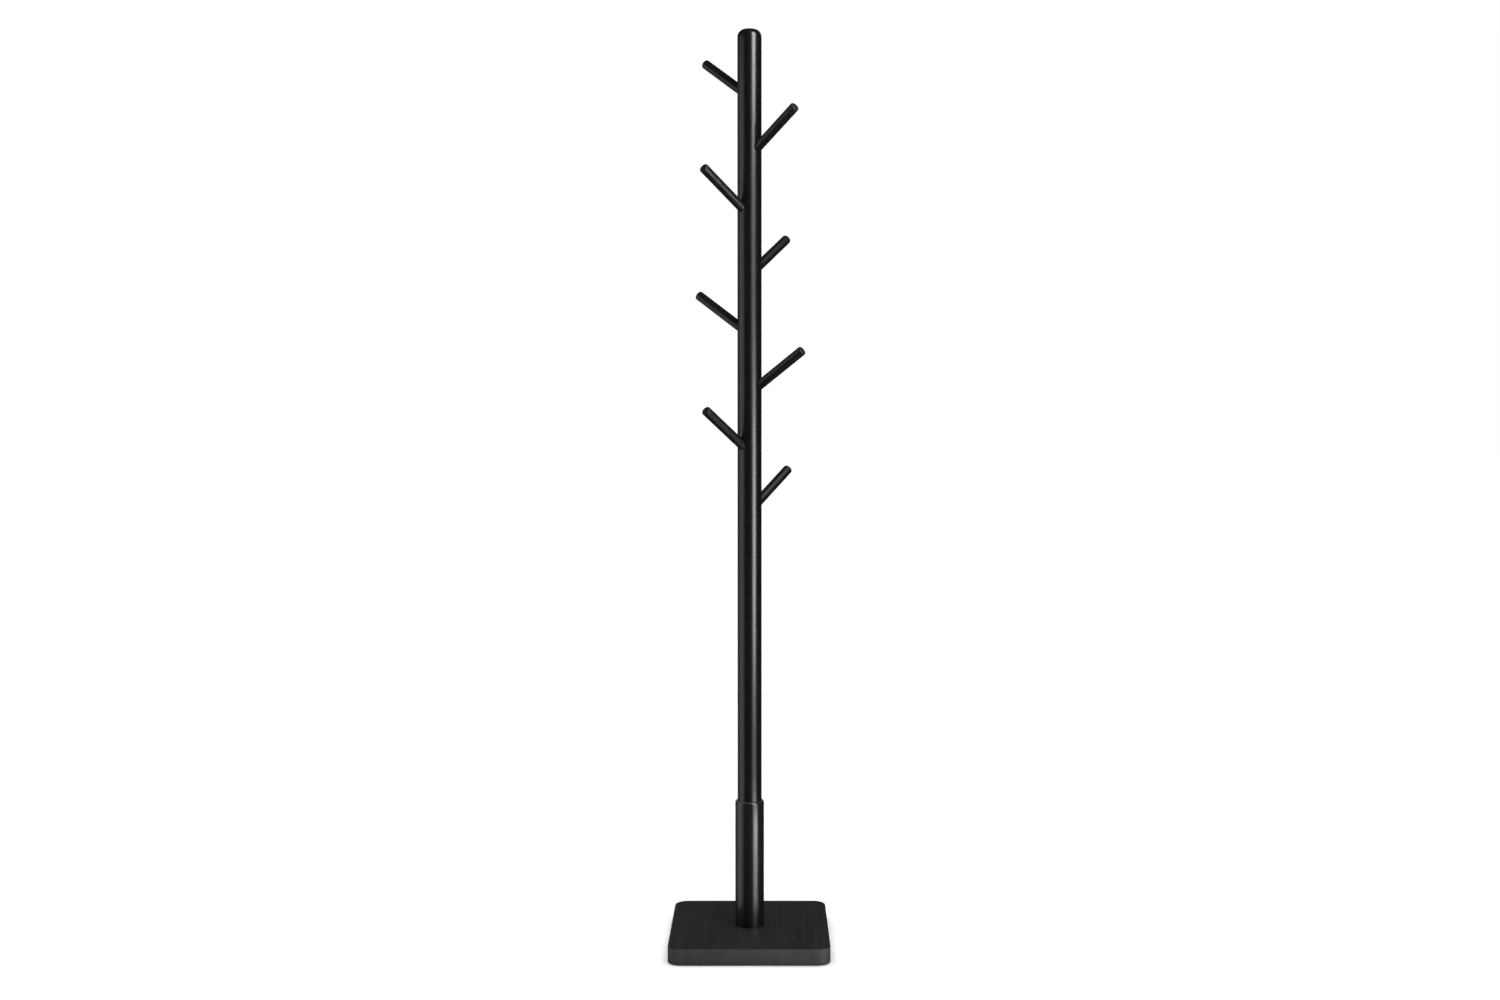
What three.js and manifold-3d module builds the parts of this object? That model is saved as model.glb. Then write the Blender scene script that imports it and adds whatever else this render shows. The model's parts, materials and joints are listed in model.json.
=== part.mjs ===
// A free-standing coat rack of black-stained wood: a square base board, a short thick post, a round
// pole in three screwed sections and eight upward-sloping pegs, with the hardware that joins them.
// Millimetres, +Z up. The origin is on the floor under the middle of the base; +Y is the back.

import * as THREE from 'three';
import { mergeVertices } from 'three/addons/utils/BufferGeometryUtils.js';
import Module from 'manifold-3d';

const wasm = await Module();
wasm.setup();

// ---- Driving dimensions ----

const TOTAL_HEIGHT = 1737;
const FIT_GAP = 0.3; // clearance kept wherever two pieces meet

const BASE_SIDE = 300;
const BASE_THICK = 29.5;
const BASE_CORNER = 25; // radius of the board's corners in plan
const BASE_EASE = 1.2; // rounding of the board's edges

const PAD_PROUD = 0.5; // how far a pad stands out of the board
const PAD_SUNK = 1.5; // how far it is let into the board
const PAD_RADIUS = 14;
const PAD_INSET = 34; // from the board's sides to a pad's centre

const POST_RADIUS = 27.5;
const POST_HEIGHT = 240;
const SHOULDER_TALL = 4.8; // height of the rounding of the post's top edge
const SHOULDER_LEDGE = 0.4; // flat left between that rounding and the mouth of the recess
const RECESS_DEPTH = 20; // how far the pole's foot sits down in the post

const POLE_RADIUS = 23;
const CROWN_WIDE = 12.5; // rounding of the pole's top edge
const CROWN_TALL = 14;
const END_EASE = 0.3; // chamfer at the ends of the sections and pegs

const PEG_RADIUS = 9;
const PEG_REACH = 143; // from the pole's axis to the peg's tip, along the peg
const PEG_SEAT = 20; // from the pole's axis to the bottom of the peg's socket
const PEG_ELEVATION = 34.5; // degrees above the horizontal
const PEG_TIP_ROUND = 3;
const PEG_TIP_DOME = 0.6;
const PEG_TOP_DROP = 126; // from the pole's top down to the first peg's line
const PEG_PITCH = 112.4;
const PEG_TURNS = [139, -42, -138, 51, 150, -30, -135, 49]; // degrees about the pole from +X

// Screws: radius of the thread, its length on the metal side and on the wood side.
const POLE_SCREW = { radius: 4, metalLength: 22, woodLength: 30, pitch: 4.4, sides: 12 };
const PEG_SCREW = { radius: 3, metalLength: 13, woodLength: 22, pitch: 4.4, sides: 10 };
const THREAD_DEPTH = 0.5;

// Threaded inserts: outer radius and length of the sleeve that each screw runs in.
const POLE_INSERT = { radius: 6, length: 18, bore: POLE_SCREW.radius + FIT_GAP, sides: 12 };
const PEG_INSERT = { radius: 4.8, length: 11, bore: PEG_SCREW.radius + FIT_GAP, sides: 10 };
const INSERT_FLANGE = 1.2;
const INSERT_BARB = 0.8;
const BARB_FROM = 0.6; // where the barb starts and ends, as parts of the insert's length
const BARB_TO = 0.5;
const TIP_ROOM = 3; // spare depth past the end of a screw

const BASE_BOLT = { radius: 4, headRadius: 7, headHeight: 5, reach: 20, pitch: 4.4, sides: 12 };
const HEAD_CROWN = 0.6; // radius of the head's flat crown and height of its slope, as parts of the head's own
const HEX_SOCKET_RADIUS = 2.9;
const HEX_SOCKET_DEPTH = 3;
const WASHER = { radius: 11, thick: 1.6 };
const COUNTERBORE_RADIUS = 12.5;
const COUNTERBORE_DEPTH = 9;

const POLE_SIDES = 48;
const PEG_SIDES = 24;
const BORE_SIDES = 16;

// ---- Heights worked out from them ----

const BASE_TOP = PAD_PROUD + BASE_THICK;
const POST_TOP = BASE_TOP + POST_HEIGHT;
const POLE_FOOT = POST_TOP - RECESS_DEPTH;
const SECTION_LENGTH = (TOTAL_HEIGHT - POLE_FOOT) / 3;
const LOWER_SEAM = POLE_FOOT + SECTION_LENGTH;
const UPPER_SEAM = LOWER_SEAM + SECTION_LENGTH;

// ---- Materials ----

function material(color, roughness, metalness) {
  return new THREE.MeshStandardMaterial({ color, roughness, metalness });
}

const poleLacquer = material(0x161618, 0.3, 0);
const baseLacquer = material(0x262628, 0.5, 0);
const pegStain = material(0x1c1a1a, 0.5, 0);
const zincSteel = material(0xa9abad, 0.35, 1);
const brass = material(0xb08d4c, 0.35, 1);
const felt = material(0x242424, 0.95, 0);

// ---- Geometry helpers ----

const v2 = (x, y) => new THREE.Vector2(x, y);

// A rounded outer corner: a quarter ellipse that ends level with `top` and starts on the wall at `radius`.
function roundedCorner(radius, top, wide, tall, steps) {
  return Array.from({ length: steps + 1 }, (_, i) => {
    const a = (Math.PI / 2) * (i / steps);
    return v2(radius - wide * (1 - Math.cos(a)), top - tall * (1 - Math.sin(a)));
  });
}

// A solid turned about +Z from an outline of (radius, height) points.
function turned(outline, sides) {
  return new THREE.LatheGeometry(outline, sides).rotateX(Math.PI / 2);
}

// A plain round bar along +Z between two heights.
function bar(radius, low, high, sides = BORE_SIDES) {
  return turned([v2(0, low), v2(radius, low), v2(radius, high), v2(0, high)], sides);
}

function toSolid(geometry) {
  const bare = geometry.clone();
  bare.deleteAttribute('normal');
  bare.deleteAttribute('uv');
  const merged = mergeVertices(bare, 1e-4);
  return new wasm.Manifold(new wasm.Mesh({
    numProp: 3,
    vertProperties: new Float32Array(merged.attributes.position.array),
    triVerts: new Uint32Array(merged.index.array),
  }));
}

function toGeometry(solid) {
  const mesh = solid.getMesh();
  const geometry = new THREE.BufferGeometry();
  geometry.setAttribute('position', new THREE.BufferAttribute(mesh.vertProperties, 3));
  geometry.setIndex(new THREE.BufferAttribute(mesh.triVerts, 1));
  geometry.computeVertexNormals();
  return geometry;
}

function cut(geometry, cutters) {
  let solid = toSolid(geometry);
  for (const cutter of cutters) solid = solid.subtract(toSolid(cutter));
  return toGeometry(solid);
}

function piece(name, geometry, finish, parent) {
  const mesh = new THREE.Mesh(geometry, finish);
  mesh.name = name;
  parent.add(mesh);
  return mesh;
}

// ---- Screws and inserts ----

// Outline of a threaded stretch between two heights: one ridge for each turn.
function threadOutline(radius, low, high, pitch) {
  const turns = Math.round((high - low) / pitch);
  const step = (high - low) / turns;
  return Array.from({ length: turns }, (_, i) => [
    v2(radius - THREAD_DEPTH, low + i * step),
    v2(radius, low + (i + 0.5) * step),
  ]).flat();
}

// A hanger bolt: machine thread below z = 0, wood thread above it, and a plain collar between them.
function hangerBolt({ radius, metalLength, woodLength, pitch, sides }) {
  const collar = radius;
  const root = radius - THREAD_DEPTH;
  return turned([
    v2(0, -metalLength),
    ...threadOutline(radius, -metalLength, -FIT_GAP, pitch),
    v2(root, -FIT_GAP),
    v2(radius, -FIT_GAP),
    v2(radius, collar),
    ...threadOutline(radius, collar, woodLength - radius, pitch),
    v2(root, woodLength - radius),
    v2(0, woodLength),
  ], sides);
}

// A threaded insert: a flanged sleeve with its mouth at z = 0 and barbs around its outside.
function threadedInsert({ radius, length, bore, sides }) {
  const shank = radius - INSERT_BARB;
  return turned([
    v2(bore, 0),
    v2(bore, -length),
    v2(shank, -length),
    v2(radius, -length * BARB_FROM),
    v2(shank, -length * BARB_TO),
    v2(shank, -INSERT_FLANGE),
    v2(radius, -INSERT_FLANGE),
    v2(radius, 0),
    v2(bore, 0),
  ], sides);
}

// The two-step hole that takes an insert and the tip of its screw, from a mouth at z = 0 down.
function insertHole(insert, screwReach) {
  const sleeve = bar(insert.radius + FIT_GAP, -insert.length - FIT_GAP, 1);
  const tip = bar(insert.bore, -screwReach - TIP_ROOM, 0);
  return [sleeve, tip];
}

// The hole that takes the wood thread of a hanger bolt, from a mouth at z = 0 up.
function boltHole({ radius, woodLength }) {
  return bar(radius + FIT_GAP, -1, woodLength + TIP_ROOM);
}

const raised = (geometry, z) => geometry.translate(0, 0, z);

// ---- Base ----

const padPlace = BASE_SIDE / 2 - PAD_INSET;
const padPlaces = [[-1, -1], [1, -1], [-1, 1], [1, 1]].map(([x, y]) => [x * padPlace, y * padPlace]);

function baseBoard() {
  const half = BASE_SIDE / 2;
  const inner = half - BASE_CORNER;
  const outline = new THREE.Shape();
  outline.moveTo(-inner, -half);
  outline.absarc(inner, -inner, BASE_CORNER, -Math.PI / 2, 0);
  outline.absarc(inner, inner, BASE_CORNER, 0, Math.PI / 2);
  outline.absarc(-inner, inner, BASE_CORNER, Math.PI / 2, Math.PI);
  outline.absarc(-inner, -inner, BASE_CORNER, Math.PI, Math.PI * 1.5);
  const board = new THREE.ExtrudeGeometry(outline, {
    depth: BASE_THICK - 2 * BASE_EASE,
    bevelSize: BASE_EASE,
    bevelThickness: BASE_EASE,
    bevelOffset: -BASE_EASE,
    bevelSegments: 2,
    curveSegments: 6,
  });
  raised(board, PAD_PROUD + BASE_EASE);
  return cut(board, [
    bar(BASE_BOLT.radius + FIT_GAP, 0, BASE_TOP + 1),
    bar(COUNTERBORE_RADIUS, 0, PAD_PROUD + COUNTERBORE_DEPTH),
    ...padPlaces.map(([x, y]) => bar(PAD_RADIUS + FIT_GAP, 0, PAD_PROUD + PAD_SUNK).translate(x, y, 0)),
  ]);
}

function footPad() {
  return bar(PAD_RADIUS, 0, PAD_PROUD + PAD_SUNK - FIT_GAP);
}

const washerTop = PAD_PROUD + COUNTERBORE_DEPTH - FIT_GAP;
const boltHeadTop = washerTop - WASHER.thick - FIT_GAP;

function baseWasher() {
  const hole = BASE_BOLT.radius + FIT_GAP;
  const low = washerTop - WASHER.thick;
  return turned([
    v2(hole, washerTop),
    v2(hole, low),
    v2(WASHER.radius, low),
    v2(WASHER.radius, washerTop),
    v2(hole, washerTop),
  ], BORE_SIDES);
}

// The bolt comes up through the board into the post's foot; its head is a domed hexagon-socket one.
function baseBolt() {
  const { radius, headRadius, headHeight, reach, pitch, sides } = BASE_BOLT;
  const headLow = boltHeadTop - headHeight;
  const threadLow = BASE_TOP;
  const threadHigh = BASE_TOP + reach;
  const bolt = turned([
    v2(0, headLow),
    v2(headRadius * HEAD_CROWN, headLow),
    v2(headRadius, headLow + headHeight * HEAD_CROWN),
    v2(headRadius, boltHeadTop),
    v2(radius, boltHeadTop),
    v2(radius, threadLow),
    ...threadOutline(radius, threadLow, threadHigh, pitch),
    v2(radius - THREAD_DEPTH, threadHigh),
    v2(0, threadHigh),
  ], sides);
  return cut(bolt, [bar(HEX_SOCKET_RADIUS, headLow - 1, headLow + HEX_SOCKET_DEPTH, 6)]);
}

// ---- Post ----

const flipped = (geometry) => geometry.rotateX(Math.PI);

function post() {
  const foot = BASE_TOP + FIT_GAP;
  const mouth = POLE_RADIUS + FIT_GAP;
  const shoulderWide = POST_RADIUS - mouth - SHOULDER_LEDGE;
  const blank = turned([
    v2(0, foot),
    v2(POST_RADIUS - END_EASE, foot),
    v2(POST_RADIUS, foot + END_EASE),
    ...roundedCorner(POST_RADIUS, POST_TOP, shoulderWide, SHOULDER_TALL, 5),
    v2(0, POST_TOP),
  ], POLE_SIDES);
  return cut(blank, [
    bar(mouth, POLE_FOOT, POST_TOP + 1, POLE_SIDES),
    ...insertHole(POLE_INSERT, POLE_SCREW.metalLength).map((hole) => raised(hole, POLE_FOOT)),
    ...insertHole(POLE_INSERT, BASE_BOLT.reach).map((hole) => raised(flipped(hole), foot)),
  ]);
}

// ---- Pole ----

// One section between two heights. `crowned` rounds its top; otherwise an insert is let into it.
function poleSection(low, high, crowned, pegFrames) {
  const foot = low + FIT_GAP;
  const top = crowned
    ? roundedCorner(POLE_RADIUS, high, CROWN_WIDE, CROWN_TALL, 6)
    : [v2(POLE_RADIUS, high - END_EASE), v2(POLE_RADIUS - END_EASE, high)];
  const blank = turned([
    v2(0, foot),
    v2(POLE_RADIUS - END_EASE, foot),
    v2(POLE_RADIUS, foot + END_EASE),
    ...top,
    v2(0, high),
  ], POLE_SIDES);
  const cutters = [raised(boltHole(POLE_SCREW), foot)];
  if (!crowned) {
    cutters.push(...insertHole(POLE_INSERT, POLE_SCREW.metalLength).map((hole) => raised(hole, high)));
  }
  for (const frame of pegFrames) {
    cutters.push(...pegHoles().map((hole) => hole.applyMatrix4(frame.matrix)));
  }
  return cut(blank, cutters);
}

// ---- Pegs ----

// The group that a peg, its bolt and its insert are placed in: +Z runs out along the peg, from the
// pole's axis.
function pegFrame(index) {
  const frame = new THREE.Group();
  frame.position.set(0, 0, TOTAL_HEIGHT - PEG_TOP_DROP - index * PEG_PITCH);
  const lean = THREE.MathUtils.degToRad(90 - PEG_ELEVATION);
  const turn = THREE.MathUtils.degToRad(PEG_TURNS[index]);
  frame.rotation.set(0, lean, turn, 'ZYX');
  frame.updateMatrix();
  return frame;
}

// The socket for the peg's end, and the stepped hole under it for the insert and the screw's tip.
function pegHoles() {
  const socket = bar(PEG_RADIUS + FIT_GAP, PEG_SEAT, PEG_SEAT + 3 * POLE_RADIUS, PEG_SIDES);
  const under = insertHole(PEG_INSERT, PEG_SCREW.metalLength).map((hole) => raised(hole, PEG_SEAT));
  return [socket, ...under];
}

function peg() {
  const foot = PEG_SEAT + FIT_GAP;
  const blank = turned([
    v2(0, foot),
    v2(PEG_RADIUS - END_EASE, foot),
    v2(PEG_RADIUS, foot + END_EASE),
    ...roundedCorner(PEG_RADIUS, PEG_REACH - PEG_TIP_DOME, PEG_TIP_ROUND, PEG_TIP_ROUND, 4),
    v2(0, PEG_REACH),
  ], PEG_SIDES);
  return cut(blank, [raised(boltHole(PEG_SCREW), foot)]);
}

// ---- Assembly ----

const rack = new THREE.Group();

piece('base_board', baseBoard(), baseLacquer, rack);
['front_left', 'front_right', 'back_left', 'back_right'].forEach((corner, index) => {
  piece(`foot_pad_${corner}`, footPad(), felt, rack).position.set(...padPlaces[index], 0);
});
piece('base_bolt', baseBolt(), zincSteel, rack);
piece('base_washer', baseWasher(), zincSteel, rack);

piece('post', post(), poleLacquer, rack);
const footInsert = piece('post_foot_insert', flipped(threadedInsert(POLE_INSERT)), brass, rack);
footInsert.position.z = BASE_TOP + FIT_GAP;
piece('post_head_insert', threadedInsert(POLE_INSERT), brass, rack).position.z = POLE_FOOT;

const pegFrames = PEG_TURNS.map((_, index) => pegFrame(index));
const pegsBetween = (low, high) => pegFrames.filter(({ position }) => position.z > low && position.z < high);
for (const [name, low, high] of [
  ['pole_lower', POLE_FOOT, LOWER_SEAM],
  ['pole_middle', LOWER_SEAM, UPPER_SEAM],
  ['pole_upper', UPPER_SEAM, TOTAL_HEIGHT],
]) {
  const crowned = high === TOTAL_HEIGHT;
  piece(name, poleSection(low, high, crowned, pegsBetween(low, high)), poleLacquer, rack);
  piece(`${name}_bolt`, hangerBolt(POLE_SCREW), zincSteel, rack).position.z = low + FIT_GAP;
  if (!crowned) piece(`${name}_insert`, threadedInsert(POLE_INSERT), brass, rack).position.z = high;
}

pegFrames.forEach((frame, index) => {
  const number = index + 1;
  rack.add(frame);
  piece(`peg_${number}`, peg(), pegStain, frame);
  piece(`peg_${number}_bolt`, hangerBolt(PEG_SCREW), zincSteel, frame).position.z = PEG_SEAT + FIT_GAP;
  piece(`peg_${number}_insert`, threadedInsert(PEG_INSERT), brass, frame).position.z = PEG_SEAT;
});

export default rack;
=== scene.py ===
"""Looks for the standing coat rack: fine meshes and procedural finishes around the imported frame.

Metres, +Z up, the camera on the -Y side. Places and outer sizes come from the frame's own boxes;
the numbers below are the fine detail that the frame leaves out, the finishes and the studio.
"""

import json
import math
from collections import namedtuple

import bmesh
import bpy
from mathutils import Matrix, Vector

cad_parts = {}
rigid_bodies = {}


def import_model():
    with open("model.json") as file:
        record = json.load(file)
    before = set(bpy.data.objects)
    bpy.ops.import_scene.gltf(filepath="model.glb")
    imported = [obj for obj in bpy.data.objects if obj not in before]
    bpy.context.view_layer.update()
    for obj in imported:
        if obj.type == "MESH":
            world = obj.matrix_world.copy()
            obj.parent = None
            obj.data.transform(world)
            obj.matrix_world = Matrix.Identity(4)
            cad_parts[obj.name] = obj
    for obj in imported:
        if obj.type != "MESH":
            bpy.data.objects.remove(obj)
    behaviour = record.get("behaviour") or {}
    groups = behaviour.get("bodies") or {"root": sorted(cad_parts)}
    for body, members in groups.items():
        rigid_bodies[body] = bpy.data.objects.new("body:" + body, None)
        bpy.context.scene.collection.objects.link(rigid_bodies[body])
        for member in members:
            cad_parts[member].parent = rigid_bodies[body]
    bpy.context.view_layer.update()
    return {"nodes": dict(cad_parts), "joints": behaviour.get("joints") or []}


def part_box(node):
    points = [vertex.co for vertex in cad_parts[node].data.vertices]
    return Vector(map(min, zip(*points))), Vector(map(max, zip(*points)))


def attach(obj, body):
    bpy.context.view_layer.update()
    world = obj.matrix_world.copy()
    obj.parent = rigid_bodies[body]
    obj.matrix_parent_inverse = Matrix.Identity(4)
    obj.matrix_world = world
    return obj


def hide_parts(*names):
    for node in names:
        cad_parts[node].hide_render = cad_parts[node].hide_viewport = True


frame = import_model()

MM = 0.001

# ---- Fine sizes ----

POLE_SIDES = 128
PEG_SIDES = 72
FITTING_SIDES = 48
SCREW_SIDES = 28

HOLE_GAP = 0.3 * MM  # between a hole and what sits in it
END_EASE = 0.3 * MM  # the eased edges of the ends of the post, the pole's sections and the pegs
SEAM = 0.005 * MM  # the hairline left between two sections
LACQUERED_RIM = 3 * MM  # how far the lacquer runs in over the sections' ends and into the sockets

BOARD_CORNER = 25 * MM
BOARD_EASE = 1.2 * MM
SHOULDER_TALL = 4.8 * MM  # the post's rounded top edge
SHOULDER_LEDGE = 0.4 * MM
PAINTED_GLINT_TALL = 1.2 * MM  # how far down that edge the painted highlight runs, a lighter colour standing in for the glint on its rim
CROWN_WIDE = 12.5 * MM  # the pole's rounded top
CROWN_TALL = 14 * MM
PAD_EDGE = 0.4 * MM

PEG_RADIUS = 9 * MM
PEG_SEAT = 20 * MM  # from the pole's axis to the bottom of a peg's socket
PEG_TIP_RADIUS = 3 * MM
PEG_TIP_DOME = 0.6 * MM
SCREW_ROOM = 3 * MM  # spare depth of the wood's hole past the end of a screw
MOUTH_CHAMFER = 0.8 * MM  # around each peg's hole

# The longest faces along each turned piece: short ones shade cleanly around the sockets.
POST_STEP = 40 * MM
PLAIN_STEP = 60 * MM
SOCKETED_STEP = 8 * MM
PEG_STEP = 10 * MM

Screw = namedtuple("Screw", "radius metal_length wood_length")
POLE_SCREW = Screw(4 * MM, 22 * MM, 30 * MM)
PEG_SCREW = Screw(3 * MM, 13 * MM, 22 * MM)
# Parts of a screw's radius: the depth of its threads and the length of one turn.
THREAD_DEPTH = 0.16
WOOD_THREAD_DEPTH = 0.288
METAL_PITCH = 1 / 3
WOOD_PITCH = 0.8
# Corners of one turn of a thread: part of the turn, and 1 in the root or 0 on the crest.
THREAD_CORNERS = ((0.0, 1), (0.14, 1), (0.46, 0), (0.62, 0))

Sleeve = namedtuple("Sleeve", "outer bore length")  # a brass insert, with its two radii
POLE_SLEEVE = Sleeve(6 * MM, 4.3 * MM, 18 * MM)
PEG_SLEEVE = Sleeve(4.8 * MM, 3.3 * MM, 11 * MM)
SLEEVE_MOUTH = 0.4 * MM  # the chamfer of its bore
SLEEVE_FLANGE = 1.2 * MM
SLEEVE_PLAIN = 2 * MM  # its length without barbs, at the mouth
SLEEVE_SHANK = 0.86  # part of its outer radius left between the barbs
BARB_COUNT = 4
BARB_SLOPE = 0.6  # part of a barb's length over which it widens
TIP_ROOM = 8 * MM  # spare depth of the hole past an insert

METAL_EASE = 0.2 * MM  # the eased edges of the insert and the washer
HEAD_HEIGHT = 5 * MM  # the base bolt's domed head
HEAD_EASE = 0.3 * MM
DOME_WIDE = 0.4  # parts of the head's radius and height that its dome takes
DOME_TALL = 0.7
HEX_RADIUS = 2.9 * MM
HEX_DEPTH = 3 * MM
COUNTERBORE_RADIUS = 12.5 * MM

OVERSHOOT = 1 * MM  # how far a cutter reaches past the face that it cuts
SHARP_DEGREES = 40  # edges that bend more than this stay crisp
FLOOR_RADIUS = 60

FOOT_PADS = [n for n in frame["nodes"] if n.startswith("foot_pad")]
PEG_JOINTS = {j["child"]: j for j in frame["joints"] if j["name"].startswith("peg_")}
PEG_NUMBERS = range(1, len(PEG_JOINTS) + 1)


def low(node):
    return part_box(node)[0]


def high(node):
    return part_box(node)[1]


def radius_of(node):
    """Half the width of a node that is turned about the rack's own axis."""
    return (high(node)[0] - low(node)[0]) / 2


# ---- Camera and light ----

def look_from_front():
    """A camera in front of the rack, a little above its middle and tipped slightly down."""
    data = bpy.data.cameras.new("camera")
    data.sensor_width = 36
    data.lens = 37.745
    data.shift_x = -0.0089
    data.shift_y = -0.021
    camera = bpy.data.objects.new("camera", data)
    camera.location = (0.0263, -3.0, 0.979)
    camera.rotation_euler = (math.radians(90 - 1.405), 0, 0)
    bpy.context.scene.collection.objects.link(camera)
    bpy.context.scene.camera = camera


def softbox(name, azimuth, distance, low_edge, high_edge, width, radiance):
    """An upright panel that makes highlights only: the sky does the rest of the lighting.

    Azimuth 0 is the camera's side and 90 is the rack's right, in degrees.
    """
    turn = math.radians(azimuth)
    height = high_edge - low_edge
    data = bpy.data.lights.new(name, "AREA")
    data.shape = "RECTANGLE"
    data.size = width
    data.size_y = height
    data.energy = radiance * math.pi * width * height
    data.color = (0.985, 0.98, 1)
    light = bpy.data.objects.new(name, data)
    light.location = (distance * math.sin(turn), -distance * math.cos(turn), low_edge + height / 2)
    light.rotation_euler = (math.radians(90), 0, turn)
    light.visible_camera = False
    light.visible_diffuse = False
    bpy.context.scene.collection.objects.link(light)


def sky(irradiance):
    """Soft light from straight above, the same everywhere on the floor."""
    data = bpy.data.lights.new("sky", "SUN")
    data.energy = irradiance
    data.angle = math.radians(70)
    lamp = bpy.data.objects.new("sky", data)
    lamp.visible_glossy = False
    bpy.context.scene.collection.objects.link(lamp)


def light_the_studio():
    """Each panel makes one stretch of the streaks that run down the rack.

    The rack's foot mirrors what is below the floor, so the lowest panels reach down there.
    """
    # Name, azimuth, distance, lower edge, upper edge, width and radiance.
    softbox("right_high", 42, 2.4, 2.11, 4.0, 1.2, 33)
    softbox("right_middle", 37, 2.4, 1.06, 2.11, 1.6, 3.9)
    softbox("right_low", 46, 2.4, 0.18, 1.06, 1.2, 22)
    softbox("right_dim", 44, 2.4, -0.56, 0.18, 1.7, 1.6)
    softbox("post_high", 48, 0.6, 0.03, 0.13, 0.34, 18)
    softbox("post_low", 48, 0.6, -0.16, 0.03, 0.34, 6.8)
    softbox("left_side", -80, 2.4, -0.85, 2.32, 2.4, 1.75)
    softbox("left_edge", -137, 2.4, -0.85, 2.32, 2.6, 0.13)
    sky(3.8)


def surround():
    """A world that looks near white and lights the rack dimly from every side."""
    world = bpy.data.worlds.new("studio")
    bpy.context.scene.world = world
    world.use_nodes = True
    nodes = world.node_tree.nodes
    links = world.node_tree.links
    nodes.clear()
    seen = nodes.new("ShaderNodeBackground")
    seen.inputs["Color"].default_value = (1, 1, 1, 1)
    seen.inputs["Strength"].default_value = 1.0
    dim = nodes.new("ShaderNodeBackground")
    dim.inputs["Color"].default_value = (0.97, 0.98, 1, 1)
    dim.inputs["Strength"].default_value = 0.04
    path = nodes.new("ShaderNodeLightPath")
    mix = nodes.new("ShaderNodeMixShader")
    out = nodes.new("ShaderNodeOutputWorld")
    links.new(path.outputs["Is Camera Ray"], mix.inputs["Fac"])
    links.new(dim.outputs[0], mix.inputs[1])
    links.new(seen.outputs[0], mix.inputs[2])
    links.new(mix.outputs[0], out.inputs["Surface"])


# ---- Node helpers ----

ALONG_Y = 1
ALONG_Z = 2

RUBBED_AND_GLINT = (0.085, 0.083, 0.084)  # the finish rubbed thin along the board's edge; on the post's top rim the same colour is a painted highlight
END_GRAIN = (0.006, 0.0058, 0.0061)  # the pegs' tips, where the stain sinks in and dries matt

# How deep the broad figure, the grain and the specks stand in a surface.
POLISHED = (0.0006 * MM, 0.0003 * MM, 0.0001 * MM)
STAINED = (0.005 * MM, 0.005 * MM, 0.001 * MM)
OPEN_GRAINED = (0.012 * MM, 0.012 * MM, 0.002 * MM)


class Finish:
    """A procedural material under construction: a Principled shader and the nodes that drive it."""

    def __init__(self, name, **shader):
        self.material = bpy.data.materials.new(name)
        self.material.use_nodes = True
        self.tree = self.material.node_tree
        self.shader = self.tree.nodes["Principled BSDF"]
        for key, value in shader.items():
            self.shader.inputs[key.replace("_", " ")].default_value = value
        self.place = self.tree.nodes.new("ShaderNodeTexCoord").outputs["Object"]

    def link(self, source, target):
        self.tree.links.new(source, target)

    def stretched(self, scale):
        """The object's coordinates, multiplied by a scale for each axis."""
        mapping = self.tree.nodes.new("ShaderNodeMapping")
        mapping.inputs["Scale"].default_value = scale
        self.link(self.place, mapping.inputs["Vector"])
        return mapping.outputs["Vector"]

    def noise(self, scale, detail=4, roughness=0.55, distortion=0):
        texture = self.tree.nodes.new("ShaderNodeTexNoise")
        texture.inputs["Scale"].default_value = 1
        texture.inputs["Detail"].default_value = detail
        texture.inputs["Roughness"].default_value = roughness
        texture.inputs["Distortion"].default_value = distortion
        self.link(self.stretched(scale), texture.inputs["Vector"])
        return texture.outputs["Fac"]

    def ramp(self, source, *stops):
        """Colours along `source`: stops are (position, (r, g, b))."""
        ramp = self.tree.nodes.new("ShaderNodeValToRGB")
        elements = ramp.color_ramp.elements
        while len(elements) < len(stops):
            elements.new(0.5)
        for element, (position, colour) in zip(elements, stops):
            element.position = position
            element.color = (*colour, 1)
        self.link(source, ramp.inputs["Fac"])
        return ramp.outputs["Color"]

    def levels(self, source, from_range, to_range):
        node = self.tree.nodes.new("ShaderNodeMapRange")
        for key, value in zip(("From Min", "From Max", "To Min", "To Max"), (*from_range, *to_range)):
            node.inputs[key].default_value = value
        self.link(source, node.inputs["Value"])
        return node.outputs["Result"]

    def maths(self, operation, a, b):
        node = self.tree.nodes.new("ShaderNodeMath")
        node.operation = operation
        for socket, value in zip(node.inputs, (a, b)):
            if isinstance(value, (int, float)):
                socket.default_value = value
            else:
                self.link(value, socket)
        return node.outputs[0]

    def blended(self, factor, a, b):
        """Colour a, turning to colour b as factor goes to 1."""
        node = self.tree.nodes.new("ShaderNodeMix")
        node.data_type = "RGBA"
        self.link(factor, node.inputs[0])
        for socket, value in ((node.inputs[6], a), (node.inputs[7], b)):
            if isinstance(value, tuple):
                socket.default_value = (*value, 1)
            else:
                self.link(value, socket)
        return node.outputs[2]

    def bump(self, *layers):
        """Stacked bump: each layer is (height, strength, depth in metres)."""
        normal = None
        for height, strength, depth in layers:
            node = self.tree.nodes.new("ShaderNodeBump")
            node.inputs["Strength"].default_value = strength
            node.inputs["Distance"].default_value = depth
            self.link(height, node.inputs["Height"])
            if normal:
                self.link(normal, node.inputs["Normal"])
            normal = node.outputs["Normal"]
        self.link(normal, self.shader.inputs["Normal"])

    def attribute(self, name):
        node = self.tree.nodes.new("ShaderNodeAttribute")
        node.attribute_name = name
        return node.outputs["Fac"]


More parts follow.
